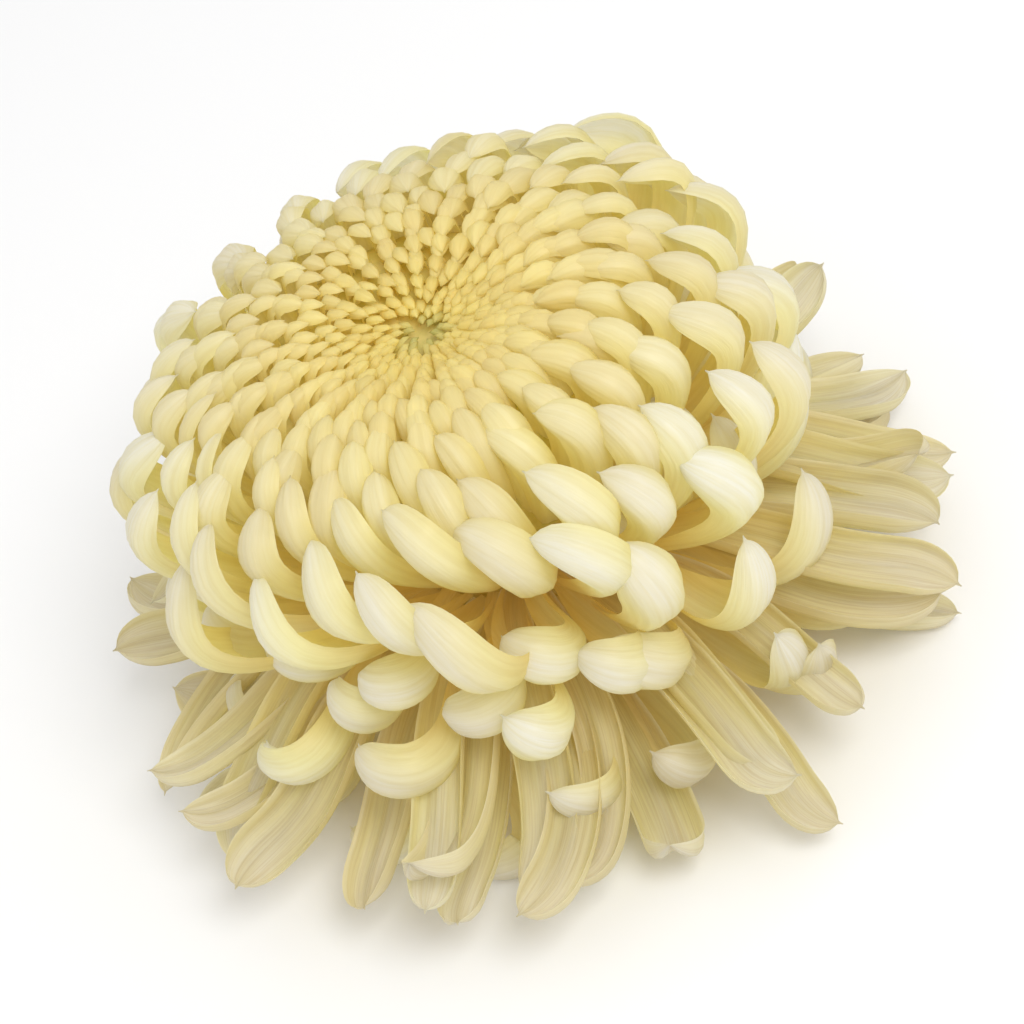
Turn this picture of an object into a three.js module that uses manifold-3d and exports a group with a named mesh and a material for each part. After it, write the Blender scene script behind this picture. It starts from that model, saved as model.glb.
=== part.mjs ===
// A large double chrysanthemum bloom, as picked: a dome of incurved ray florets with a
// dimpled eye, a ring of claw florets under its rim, a skirt of drooping straps, and the
// green involucre and cut peduncle beneath. Millimetres, +Z up. The bloom stands face up on
// the cut end of its peduncle and the lowest straps of its skirt.
//
// Florets are numbered from the outside in and set round the head by the golden angle:
// straps first, then claws, then the dome, up to the eye. Each one is a blade swept along
// its own centre line, all rooted in one core, which they are fused to.
import * as THREE from "three";
import Module from "manifold-3d";
import { mergeVertices } from "three/addons/utils/BufferGeometryUtils.js";

const wasm = await Module();
wasm.setup();

// Driving dimensions of the dome: the surface that the tips of its florets lie on.
const DOME_RADIUS = 52;
const EQUATOR_Z = 52;
const DOME_RISE = 27;
const UNDERSIDE_DEPTH = 42;
const DIMPLE_DEPTH = 9;
const DIMPLE_RADIUS = 17;

// Driving dimensions of the florets. A range is written as its value at the outermost floret
// of its kind, its change up to the innermost one, and its random spread. Angles are in
// degrees here. A nose is the length of the rounded tip, in widths.
const STRAP_COUNT = 50;
const STRAP = {
  rootRadius: [8.5, 1, 0],
  rootZ: [15, 6, 0],
  length: [66, 3, 4],
  pitch: [6, 38, 5],
  droop: [-26, -60, 12],
  droopRange: [0, 0.75], // shares of the length that a bend is spread over
  curledTip: [50, 0, 55],
  relaxedTip: [12, 0, 30],
  curledAbove: 0.3, // a draw above this makes a curled tip
  tipRange: [0.6, 1.05],
  hook: 45,
  sweptHook: -20,
  hookRange: [0.45, 1.05],
  flick: 70, // a last sideways turn at the tip
  flickRange: [0.82, 1.08],
  width: [10.2, 0, 1.7],
  cup: [115, 0, 30],
  twist: 25,
  nose: 0.8,
  hood: 0.45,
  neck: [0.04, 0.62], // shares of the length between which it widens from its root
};
const CLAW_COUNT = 62;
const CLAW = {
  rootRadius: [9.5, 0, 0],
  rootZ: [19, 3, 0],
  length: [66, -6, 4],
  pitch: [2, 58, 7],
  droop: [-45, 0, 8],
  droopRange: [0, 0.5],
  curl: [105, 25, 20],
  sweptCurl: 55,
  curlStart: [0.54, -0.14, 0.05],
  curlEnd: 1.1,
  sideways: 25,
  roll: [0, 0, 20],
  sweptRoll: -80,
  upsweptRoll: 60,
  yawPerRoll: -0.2,
  width: [9.8, 0, 1.1],
  cup: [170, 0, 20],
  twist: 14,
  nose: 1.35,
  hood: 0.6,
  neck: [0.2, 0.75],
};
const YAW_SPREAD = 5;
const ROLL_RANGE = [0.15, 0.5]; // shares of the length between which a blade rolls
const TWIST_RANGE = [0.35, 1]; // and twists
const DOME = {
  width: 9.2,
  widthSpread: 0.1, // as a share
  start: 54.5, // distance over the dome from the eye to its outermost tips
  end: 2.2, // and to its innermost ones
  exposure: 1.22, // how much of the dome a floret shows, in squares of its width
  eyeExposure: 1,
  lean: 15,
  eyeLean: -10,
  press: [8, 12, 6],
  lift: [0.1, 0, 0.1],
  rimLift: [0.25, 0, 0.25],
  handle: [3.2, -0.4, 0.4],
  reach: [4.4, -1.1, 0.4],
  clearance: 1, // added to the reach
  depth: 0.85, // of the shoulder under the tips' surface, in widths
  depthMargin: 0.5, // added to the depth
  follow: 0.9, // how far a leaning floret's shoulder follows its tip round the head
  lowestShoulderZ: 14,
  rootRadius: [9.6, -9, 0],
  rootZ: [21, 6, 0],
  cup: [150, 0, 14],
  twist: 8,
  nose: 0.9,
  hood: 0.5,
  neck: [0.04, 0.62],
};
const EYE_RADIUS = 20; // distance from the eye within which the florets stay small
const EYE_WIDTH = 2.9;
const CENTRE_WIDTH = 1.1;
const WIDTH_GAIN = 0.175;
// The dome is covered by fewer and broader florets than on the living head.
const FINEST_WIDTH = 5.2;
const BREADTH = 1.4; // of a floret, in widths of the living one
const SIZE_RANGE = [22, 46]; // distances from the eye between which florets turn full size
const SHOULDER_RANGE = [32, 54]; // and between which their shoulders rise over the rim
const SHOULDER_RISE = 1.25;
const BLADE_THICKNESS = 1.2;
const ROOT_SHARE = 0.22; // a floret's width at its root, as a share of its full width
const LOWEST_Z = 0.05; // of a floret, just clear of the surface that the bloom stands on
const GOLDEN_ANGLE = rad(137.50776);
const BEARING_SPREAD = 0.05;
const DRAWS = 14;
const PATH_STEPS = 48;
const FLOOR_EASE = 1.2; // height over which a drooping strap levels out along the surface
const TANGENT_STEP = 0.01;

// The head is combed over: at the sweep's bearing its florets are swept round it one way, and
// on the far side the other way. Claws about the upsweep's bearing curl back the other way too.
const SWEEP_BEARING = rad(-125);
const SWEEP = -40;
const UPSWEEP_BEARING = rad(-5);
const LOBE_RANGE = [0.35, 0.9];

// On this side of the head the florets are larger nearer to the eye.
const LOPSIDE_BEARING = rad(-45);
const LOPSIDE = 5;
const LOPSIDE_MEAN = 0.3;

// Driving dimensions of what carries the florets.
const CORE_BOTTOM_Z = 13.2;
const CORE_BOTTOM_RADIUS = 9.5;
const CORE_DEPTH = 11; // at the most, under the tips
const CORE_MARGIN = 3; // and where the florets are small, this and so many of their widths
const CORE_WIDTHS = 1.4;
const CORE_SIDES = 24;
const CORE_CONE_RADIUS = 27;
const CORE_CONE_Z = 18;
const CORE_RIM_RADIUS = 37;
const CORE_RIM_Z = 33;
const CORE_DOME_START = 60;
const CORE_DOME_STEP = 10;
const CORE_EYE_DEPTH = 5;
const JOINT_GAP = 0.3;
const PEDUNCLE_HEIGHT = 7.7;
const PEDUNCLE_RADIUS = 3.1;
const PEDUNCLE_RIBS = 10;
const RIB_HEIGHT = 0.3;
const INVOLUCRE_RADIUS = 10.5;
const INVOLUCRE_FLARE = [[0.62, 1.6], [0.93, 3.6]]; // shares of its radius, at heights
const BRACT_ROWS = 2;
const BRACTS_PER_ROW = 16;
const BRACT = {
  width: [4.16, 1.04, 0],
  thickness: 0.8,
  rootShare: 0.7,
  cup: [70, 0, 0],
  twist: 0,
  nose: 1.1,
  hood: 0.2,
  neck: [0.04, 0.62],
  // Its centre line's four controls: radius, and height over the involucre's foot.
  radius: [[2.4, 2.4, 0], [5, 2.4, 0], [8, 2, 0], [9.6, 3.4, 0]],
  height: [[0.9, 1.2, 0], [0.7, 1.2, 0], [1.4, 2, 0], [2.9, 2.1, 0]],
};

const UP = new THREE.Vector3(0, 0, 1);

function rad(degrees) {
  return (degrees * Math.PI) / 180;
}

function clamp01(x) {
  return Math.min(Math.max(x, 0), 1);
}

// 0 below lo, 1 above hi, and a smooth step between them.
function smooth(lo, hi, x) {
  const t = clamp01((x - lo) / (hi - lo));
  return t * t * (3 - 2 * t);
}

// A value of a range at the share of the way inwards, moved by a random draw.
function vary([outermost, change, spread], share, draw) {
  return outermost + change * share + spread * draw;
}

// A smooth bump between lo and hi, whose area is 1.
function bump(lo, hi, x) {
  const t = (x - lo) / (hi - lo);
  return t > 0 && t < 1 ? (6 * t * (1 - t)) / (hi - lo) : 0;
}

// Seeded draws from -1 to 1: a Park-Miller generator of its own for each floret.
function draws(seed) {
  const MODULUS = 2147483647;
  const next = (state) => (state * 16807) % MODULUS;
  let state = next(next(next((seed * 7919 + 104729) % MODULUS)));
  const drawn = [];
  for (let i = 0; i < DRAWS; i += 1) {
    state = next(state);
    drawn.push((state / MODULUS) * 2 - 1);
  }
  return drawn;
}

// ---------------------------------------------------------------- the dome's surface

const PROFILE_STEPS = 700;
const PROFILE_END = rad(140);

function buildProfile() {
  const profile = [];
  for (let i = 0; i < PROFILE_STEPS; i += 1) {
    const angle = (PROFILE_END * i) / (PROFILE_STEPS - 1);
    const upper = angle < Math.PI / 2;
    const r = DOME_RADIUS * Math.sin(angle);
    const dimple = upper ? DIMPLE_DEPTH * Math.exp(-((r / DIMPLE_RADIUS) ** 2)) : 0;
    const z = EQUATOR_Z + (upper ? DOME_RISE : UNDERSIDE_DEPTH) * Math.cos(angle) - dimple;
    const last = profile[i - 1];
    const s = last ? last.s + Math.hypot(r - last.r, z - last.z) : 0;
    profile.push({ r, z, s });
  }
  return profile;
}

const PROFILE = buildProfile();
const PROFILE_LENGTH = PROFILE[PROFILE.length - 1].s;

// The profile's point at the distance s from the eye.
function profileAt(s) {
  if (s <= 0) return [PROFILE[0].r, PROFILE[0].z];
  if (s >= PROFILE_LENGTH) {
    const end = PROFILE[PROFILE.length - 1];
    return [end.r, end.z];
  }
  const i = PROFILE.findIndex((p) => p.s > s);
  const [a, b] = [PROFILE[i - 1], PROFILE[i]];
  const t = (s - a.s) / (b.s - a.s);
  return [a.r + t * (b.r - a.r), a.z + t * (b.z - a.z)];
}

// Point, direction towards the eye and outward normal, each as [r, z].
function surface(s) {
  const STEP = 0.4;
  const inner = profileAt(s - STEP);
  const outer = profileAt(s + STEP);
  const run = [inner[0] - outer[0], inner[1] - outer[1]];
  const length = Math.hypot(...run);
  const toEye = [run[0] / length, run[1] / length];
  return { point: profileAt(s), toEye, normal: [toEye[1], -toEye[0]] };
}

// Width of the living floret whose tip lies at the distance s from the eye.
function widthAt(s) {
  const eyeWidth = CENTRE_WIDTH + (EYE_WIDTH - CENTRE_WIDTH) * clamp01(s / EYE_RADIUS);
  return eyeWidth + Math.min(Math.max(s - EYE_RADIUS, 0) * WIDTH_GAIN, DOME.width - EYE_WIDTH);
}

function bladeWidthAt(s) {
  return BREADTH * Math.max(widthAt(s), FINEST_WIDTH);
}

// Distances of the dome's tips from the eye, from the outside in: each floret takes up its
// share of the surface.
function domePlaces() {
  const places = [];
  let s = DOME.start;
  while (s > DOME.end) {
    places.push(s);
    const r = surface(s).point[0];
    const full = smooth(...SIZE_RANGE, s);
    const exposure = DOME.eyeExposure + (DOME.exposure - DOME.eyeExposure) * full;
    s -= (exposure * bladeWidthAt(s) ** 2) / (2 * Math.PI * r);
  }
  return places;
}

// ---------------------------------------------------------------- centre lines

// The head's own directions at a bearing: outward and sideways.
function bearing(azimuth) {
  const out = new THREE.Vector3(Math.cos(azimuth), Math.sin(azimuth), 0);
  return { out, side: UP.clone().cross(out) };
}

function inPlane(out, [r, z]) {
  return out.clone().multiplyScalar(r).addScaledVector(UP, z);
}

// The outward direction of a blade that is rolled about its heading.
function rolled(back, heading, roll) {
  const across = heading.clone().cross(back);
  return back.clone().multiplyScalar(Math.cos(roll)).addScaledVector(across, -Math.sin(roll));
}

// A centre line that grows from its root, turning towards its inner face by bend(a) and
// sideways by turn(a), in radians for the whole length, where a runs from 0 to 1. The blade
// rolls about its heading on the way.
function grow({ root, length, pitch, yaw, roll, azimuth, bend, turn }) {
  const { out, side } = bearing(azimuth);
  const heading = out.clone().multiplyScalar(Math.cos(yaw)).addScaledVector(side, Math.sin(yaw));
  heading.multiplyScalar(Math.cos(pitch)).addScaledVector(UP, Math.sin(pitch));
  const back = side.clone().cross(heading).normalize();
  const path = [root.clone()];
  for (let i = 0; i < PATH_STEPS; i += 1) {
    const a = (i + 0.5) / PATH_STEPS;
    const outer = rolled(back, heading, roll * smooth(...ROLL_RANGE, a));
    const across = heading.clone().cross(outer);
    heading.addScaledVector(outer, -bend(a) / PATH_STEPS);
    heading.addScaledVector(across, turn(a) / PATH_STEPS);
    heading.normalize();
    back.addScaledVector(heading, -back.dot(heading)).normalize();
    path.push(path[i].clone().addScaledVector(heading, length / PATH_STEPS));
  }
  for (const p of path) p.z = (p.z + Math.hypot(p.z, FLOOR_EASE)) / 2;
  return path;
}

function bezier(c0, c1, c2, c3) {
  return new THREE.CubicBezierCurve3(c0, c1, c2, c3).getPoints(PATH_STEPS);
}

// 1 about the middle bearing, falling smoothly to 0 at the sides.
function lobe(azimuth, middle) {
  return smooth(...LOBE_RANGE, 0.5 + 0.5 * Math.cos(azimuth - middle));
}

// The bearing of floret n.
function azimuthOf(n, draw) {
  return n * GOLDEN_ANGLE + BEARING_SPREAD * draw;
}

// What a floret's blade needs beside its centre line.
function section(form, width, d) {
  const cup = rad(vary(form.cup, 0, d[10]));
  const twist = rad(form.twist * d[11]);
  return { width, cup, twist, nose: form.nose, hood: form.hood, neck: form.neck };
}

// A strap of the skirt: it arches out from under the head and droops, and some curl up or
// hook sideways at the tip.
function strap(n) {
  const d = draws(n);
  const azimuth = azimuthOf(n, d[13]);
  const inward = n / STRAP_COUNT;
  const { out } = bearing(azimuth);
  const droop = rad(vary(STRAP.droop, inward, d[2]));
  const curled = d[4] > STRAP.curledAbove;
  const curl = rad(curled ? vary(STRAP.curledTip, 0, d[5]) : vary(STRAP.relaxedTip, 0, d[3]));
  const hook = rad(STRAP.hook * d[7] * Math.abs(d[7]) + STRAP.sweptHook * lobe(azimuth, SWEEP_BEARING));
  const flick = rad(STRAP.flick * d[12]);
  const path = grow({
    root: inPlane(out, [vary(STRAP.rootRadius, inward, 0), vary(STRAP.rootZ, inward, 0)]),
    length: vary(STRAP.length, inward, d[6]),
    pitch: rad(vary(STRAP.pitch, inward, d[1])),
    yaw: rad(YAW_SPREAD * d[8]),
    roll: 0,
    azimuth,
    bend: (a) => droop * bump(...STRAP.droopRange, a) + curl * bump(...STRAP.tipRange, a),
    turn: (a) => hook * bump(...STRAP.hookRange, a) + flick * bump(...STRAP.flickRange, a),
  });
  return { path, azimuth, ...section(STRAP, vary(STRAP.width, 0, d[9]), d) };
}

// A claw: it arches out from under the dome's rim and curls up and in, or rolls over and
// curls sideways.
function claw(n) {
  const d = draws(n);
  const azimuth = azimuthOf(n, d[13]);
  const inward = (n - STRAP_COUNT) / CLAW_COUNT;
  const { out } = bearing(azimuth);
  const swept = lobe(azimuth, SWEEP_BEARING);
  const upswept = lobe(azimuth, UPSWEEP_BEARING);
  const curl = rad(vary(CLAW.curl, inward, d[2]) + CLAW.sweptCurl * swept);
  const sweptRoll = CLAW.sweptRoll * swept + CLAW.upsweptRoll * upswept;
  const roll = rad(sweptRoll + vary(CLAW.roll, 0, d[4]));
  const start = vary(CLAW.curlStart, upswept, d[5]);
  const droop = rad(vary(CLAW.droop, inward, d[6]));
  const path = grow({
    root: inPlane(out, [vary(CLAW.rootRadius, inward, 0), vary(CLAW.rootZ, inward, 0)]),
    length: vary(CLAW.length, inward, d[3]),
    pitch: rad(vary(CLAW.pitch, inward, d[1])),
    yaw: rad(YAW_SPREAD * d[8]) + CLAW.yawPerRoll * roll,
    roll,
    azimuth,
    bend: (a) => droop * bump(...CLAW.droopRange, a) + curl * bump(start, CLAW.curlEnd, a),
    turn: (a) => rad(CLAW.sideways * d[7]) * bump(start, CLAW.curlEnd, a),
  });
  return { path, azimuth, roll, ...section(CLAW, vary(CLAW.width, 0, d[9]), d) };
}

// An incurved floret of the dome: its tip lies on the surface at the distance s from the
// eye and points at the eye, over the floret inside it.
function domeFloret(n, s, inward) {
  const d = draws(n);
  const azimuth = azimuthOf(n, d[13]);
  const { out, side } = bearing(azimuth);
  const widthShare = 1 + DOME.widthSpread * d[1];
  const size = widthAt(s) * widthShare;
  const width = bladeWidthAt(s) * widthShare;
  const big = smooth(...SIZE_RANGE, s);
  const swept = SWEEP * Math.cos(azimuth - SWEEP_BEARING) * big;
  const lean = rad(swept + DOME.lean * d[4] + DOME.eyeLean * (1 - big));
  const press = rad(vary(DOME.press, big, d[2]));
  const shift = LOPSIDE * (LOPSIDE_MEAN + Math.cos(azimuth - LOPSIDE_BEARING));
  s -= shift * Math.sin((Math.PI * s) / DOME.start) ** 2;
  const at = surface(s);
  const normal = inPlane(out, at.normal);
  const along = inPlane(out, at.toEye).multiplyScalar(Math.cos(lean));
  along.addScaledVector(side, Math.sin(lean));
  const heading = along.multiplyScalar(Math.cos(press)).addScaledVector(normal, -Math.sin(press));
  const lift = vary(DOME.lift, 0, d[3]) + vary(DOME.rimLift, 0, d[7]) * big;
  const tip = inPlane(out, at.point).addScaledVector(normal, lift * size);
  const span = (size + width) / 2;
  const handle = vary(DOME.handle, big, d[5]) * span;
  const reach = vary(DOME.reach, big, d[6]) * span + DOME.clearance;
  const behind = surface(Math.min(s + reach * Math.cos(lean), PROFILE_LENGTH - 1));
  const sunk = 1 - SHOULDER_RISE * smooth(...SHOULDER_RANGE, s);
  const shoulder = inPlane(out, behind.point);
  const depth = (DOME.depth * size + DOME.depthMargin) * sunk;
  shoulder.addScaledVector(inPlane(out, behind.normal), -depth);
  shoulder.addScaledVector(side, -DOME.follow * handle * Math.sin(lean));
  shoulder.z = Math.max(shoulder.z, DOME.lowestShoulderZ);
  const root = inPlane(out, [vary(DOME.rootRadius, inward, 0), vary(DOME.rootZ, inward, 0)]);
  const neck = tip.clone().addScaledVector(heading, -handle);
  const path = bezier(root, shoulder, neck, tip);
  return { path, azimuth, ...section(DOME, width, d) };
}

// ---------------------------------------------------------------- solids

function toSolid(vertices, triangles) {
  return new wasm.Manifold(
    new wasm.Mesh({
      numProp: 3,
      vertProperties: new Float32Array(vertices),
      triVerts: new Uint32Array(triangles),
    }),
  );
}

function toGeometry(solid) {
  const mesh = solid.getMesh();
  const positions = new Float32Array(mesh.numVert * 3);
  for (let i = 0; i < mesh.numVert; i += 1) {
    const start = i * mesh.numProp;
    positions.set(mesh.vertProperties.subarray(start, start + 3), i * 3);
  }
  const geometry = new THREE.BufferGeometry();
  geometry.setAttribute("position", new THREE.BufferAttribute(positions, 3));
  geometry.setIndex(new THREE.BufferAttribute(mesh.triVerts, 1));
  geometry.computeVertexNormals();
  return geometry;
}

function solidOf(geometry) {
  const shape = geometry.clone();
  shape.deleteAttribute("normal");
  shape.deleteAttribute("uv");
  const merged = mergeVertices(shape);
  return toSolid(merged.getAttribute("position").array, merged.getIndex().array);
}

// One body: what a fusing leaves loose is dropped, and what it seals is filled.
function fuse(solids) {
  const bodies = wasm.Manifold.union(solids).decompose();
  return bodies.reduce((most, body) => (body.volume() > most.volume() ? body : most));
}

// Rings of equally many points, joined by side walls, with a flat cap at the first ring and
// a point beyond the last. Quads on the two faces of a blade are split alike.
function ringSolid(rings, apex) {
  const sides = rings[0].length;
  const vertices = [...rings.flat(), apex].flatMap((p) => p.toArray());
  const triangles = [];
  for (let i = 2; i < sides; i += 1) triangles.push(0, i, i - 1);
  for (let ring = 0; ring + 1 < rings.length; ring += 1) {
    for (let k = 0; k < sides; k += 1) {
      const a = ring * sides + k;
      const b = ring * sides + ((k + 1) % sides);
      const [c, d] = [a + sides, b + sides];
      if (k % 2) triangles.push(a, b, c, b, d, c);
      else triangles.push(a, b, d, a, d, c);
    }
  }
  const last = (rings.length - 1) * sides;
  const tip = rings.length * sides;
  for (let k = 0; k < sides; k += 1) triangles.push(last + k, last + ((k + 1) % sides), tip);
  return toSolid(vertices, triangles);
}

// Point on a path of equal or unequal steps at the share a of its length.
function pathReader(path) {
  const distance = [0];
  for (let i = 1; i < path.length; i += 1) {
    distance.push(distance[i - 1] + path[i].distanceTo(path[i - 1]));
  }
  const length = distance[distance.length - 1];
  const at = (a) => {
    const target = clamp01(a) * length;
    const i = Math.max(distance.findIndex((value) => value >= target), 1);
    const t = (target - distance[i - 1]) / (distance[i] - distance[i - 1]);
    return path[i - 1].clone().lerp(path[i], t);
  };
  return { length, at };
}

// A blade along a floret's centre line: its back is a ridge and its edges are cupped
// towards the inner face, and it narrows to its root and to its tip. A hollow blade has an
// inner face that follows the ridge, and a full one is flat from edge to edge.
function blade(floret, stations, hollow) {
  const { length, at } = pathReader(floret.path);
  const rootShare = floret.rootShare ?? ROOT_SHARE;
  const thickness = floret.thickness ?? BLADE_THICKNESS;
  const half = Math.min(floret.cup / 2, Math.PI / 2);
  const back = new THREE.Vector3();
  const rings = stations.map((a, i) => {
    const heading = at(a + TANGENT_STEP).sub(at(a - TANGENT_STEP)).normalize();
    if (i === 0) back.copy(bearing(floret.azimuth).side.cross(heading));
    back.addScaledVector(heading, -back.dot(heading)).normalize();
    const roll = (floret.roll ?? 0) * smooth(...ROLL_RANGE, a);
    const deep = rolled(back, heading, roll + floret.twist * smooth(...TWIST_RANGE, a));
    const wide = heading.clone().cross(deep);
    const nose = clamp01(1 - ((1 - a) * length) / (floret.nose * floret.width));
    const end = Math.sqrt(1 - nose ** 2);
    const full = floret.width * (rootShare + (1 - rootShare) * smooth(...floret.neck, a));
    const fullRadius = full / (2 * Math.sin(half));
    const radius = fullRadius * end;
    const drop = floret.hood * (fullRadius - radius);
    const edge = radius * (Math.cos(half) - 1) - drop;
    const place = (x, y) => at(a).addScaledVector(wide, x).addScaledVector(deep, y);
    const ring = [place((-full * end) / 2, edge), place(0, -drop), place((full * end) / 2, edge)];
    if (hollow) ring.push(place(0, -drop - thickness));
    for (const p of ring) p.z = Math.max(p.z, LOWEST_Z);
    return ring;
  });
  return ringSolid(rings, at(1));
}

// ---------------------------------------------------------------- the nodes

// Where along its length a blade has its rings.
const STRAP_STATIONS = [0.12, 0.58, 0.9];
const CLAW_STATIONS = [0.18, 0.58, 0.92];
const DOME_STATIONS = [0.36, 0.82, 0.95];
const BRACT_STATIONS = [0, 0.4, 0.75];

// A smaller dome under the tips, and a cone from under its rim down to the receptacle.
function core() {
  const points = [
    new THREE.Vector2(0, CORE_BOTTOM_Z),
    new THREE.Vector2(CORE_BOTTOM_RADIUS, CORE_BOTTOM_Z),
    new THREE.Vector2(CORE_CONE_RADIUS, CORE_CONE_Z),
    new THREE.Vector2(CORE_RIM_RADIUS, CORE_RIM_Z),
  ];
  for (let s = CORE_DOME_START; s > CORE_DOME_STEP; s -= CORE_DOME_STEP) {
    const { point, normal } = surface(s);
    const depth = Math.min(CORE_DEPTH, CORE_MARGIN + CORE_WIDTHS * widthAt(s));
    points.push(new THREE.Vector2(point[0] - depth * normal[0], point[1] - depth * normal[1]));
  }
  points.push(new THREE.Vector2(0, profileAt(0)[1] - CORE_EYE_DEPTH));
  return solidOf(new THREE.LatheGeometry(points, CORE_SIDES).rotateX(Math.PI / 2));
}

function rayFlorets() {
  const solids = [core()];
  for (let n = 0; n < STRAP_COUNT; n += 1) solids.push(blade(strap(n), STRAP_STATIONS, true));
  const domeBegins = STRAP_COUNT + CLAW_COUNT;
  for (let n = STRAP_COUNT; n < domeBegins; n += 1) {
    solids.push(blade(claw(n), CLAW_STATIONS, false));
  }
  const places = domePlaces();
  places.forEach((s, i) => {
    const floret = domeFloret(domeBegins + i, s, i / places.length);
    solids.push(blade(floret, DOME_STATIONS, false));
  });
  return fuse(solids);
}

// One green bract of the involucre: rows run from the lowest and outermost inwards.
function bract(row, index) {
  const inward = row / (BRACT_ROWS - 1);
  const azimuth = ((index + 0.5 * (row % 2)) / BRACTS_PER_ROW) * 2 * Math.PI;
  const { out } = bearing(azimuth);
  const controls = BRACT.radius.map((radius, i) => {
    const height = vary(BRACT.height[i], inward, 0);
    return inPlane(out, [vary(radius, inward, 0), PEDUNCLE_HEIGHT + JOINT_GAP + height]);
  });
  const { rootShare, thickness } = BRACT;
  const shape = { path: bezier(...controls), azimuth, rootShare, thickness };
  return { ...shape, ...section(BRACT, vary(BRACT.width, inward, 0), draws(index)) };
}

// A shallow green cup under the receptacle, with its overlapping bracts.
function involucre() {
  const bottom = PEDUNCLE_HEIGHT + JOINT_GAP;
  const top = CORE_BOTTOM_Z - JOINT_GAP;
  const profile = [
    new THREE.Vector2(0, bottom),
    new THREE.Vector2(PEDUNCLE_RADIUS + RIB_HEIGHT, bottom),
    ...INVOLUCRE_FLARE.map(([share, z]) => new THREE.Vector2(share * INVOLUCRE_RADIUS, bottom + z)),
    new THREE.Vector2(INVOLUCRE_RADIUS, top),
    new THREE.Vector2(0, top),
  ];
  const solids = [solidOf(new THREE.LatheGeometry(profile, CORE_SIDES).rotateX(Math.PI / 2))];
  for (let row = 0; row < BRACT_ROWS; row += 1) {
    for (let index = 0; index < BRACTS_PER_ROW; index += 1) {
      solids.push(blade(bract(row, index), BRACT_STATIONS, true));
    }
  }
  return fuse(solids);
}

// The cut stub of the flower stalk, low-ribbed, from its flat cut end up to the involucre.
function peduncle() {
  const outline = new THREE.Shape();
  const SIDES = 4 * PEDUNCLE_RIBS;
  for (let i = 0; i < SIDES; i += 1) {
    const angle = (2 * Math.PI * i) / SIDES;
    const radius = PEDUNCLE_RADIUS + (RIB_HEIGHT / 2) * (1 + Math.cos(PEDUNCLE_RIBS * angle));
    const point = [radius * Math.cos(angle), radius * Math.sin(angle)];
    if (i === 0) outline.moveTo(...point);
    else outline.lineTo(...point);
  }
  return new THREE.ExtrudeGeometry(outline, { depth: PEDUNCLE_HEIGHT, bevelEnabled: false });
}

function node(name, geometry, color, roughness) {
  const material = new THREE.MeshStandardMaterial({ color, roughness, metalness: 0 });
  const mesh = new THREE.Mesh(geometry, material);
  mesh.name = name;
  return mesh;
}

const head = new THREE.Group();
head.add(node("ray_florets", toGeometry(rayFlorets()), 0xf2e6b4, 0.55));
head.add(node("involucre", toGeometry(involucre()), 0x7f9450, 0.7));
head.add(node("peduncle", peduncle(), 0x8fa45c, 0.65));

// The origin is on the surface that the bloom stands on, at the middle of its bounding box.
const middle = new THREE.Box3().setFromObject(head).getCenter(new THREE.Vector3());
head.position.set(-middle.x, -middle.y, 0);

const bloom = new THREE.Group();
bloom.add(head);

export default bloom;
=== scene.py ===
"""A large double chrysanthemum bloom in cream and yellow, as picked, on a pale floor.

The florets are numbered from the outside in and set round the head by the golden angle:
the straps of the skirt first, then the claws, then the dome up to its dimpled eye. Each is a
thin cupped blade along its own centre line. Lengths are in millimetres up to the meshes,
which are in metres.
"""
import math

import bpy
import numpy as np
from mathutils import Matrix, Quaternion, Vector


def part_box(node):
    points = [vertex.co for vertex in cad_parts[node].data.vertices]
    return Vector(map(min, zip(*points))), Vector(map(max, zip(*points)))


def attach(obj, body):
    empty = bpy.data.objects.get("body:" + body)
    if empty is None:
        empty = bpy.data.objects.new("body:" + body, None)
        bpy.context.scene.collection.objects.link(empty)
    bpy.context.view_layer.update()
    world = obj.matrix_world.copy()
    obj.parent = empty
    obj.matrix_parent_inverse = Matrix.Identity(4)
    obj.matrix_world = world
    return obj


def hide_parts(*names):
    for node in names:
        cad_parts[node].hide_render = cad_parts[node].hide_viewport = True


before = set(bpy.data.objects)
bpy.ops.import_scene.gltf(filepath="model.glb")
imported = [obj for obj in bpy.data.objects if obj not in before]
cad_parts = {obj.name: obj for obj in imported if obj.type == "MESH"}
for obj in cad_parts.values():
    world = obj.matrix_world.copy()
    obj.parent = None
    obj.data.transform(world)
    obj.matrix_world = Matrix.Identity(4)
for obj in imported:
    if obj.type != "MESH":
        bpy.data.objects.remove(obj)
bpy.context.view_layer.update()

MM = 0.001
rad = math.radians

# ------------------------------------------------------------------ driving dimensions

# The dome: the surface that the tips of its florets lie on.
DOME_RADIUS = 52.0
EQUATOR_Z = 52.0
DOME_RISE = 27.0
UNDERSIDE_DEPTH = 42.0
DIMPLE_DEPTH = 9.0
DIMPLE_RADIUS = 17.0

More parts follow.
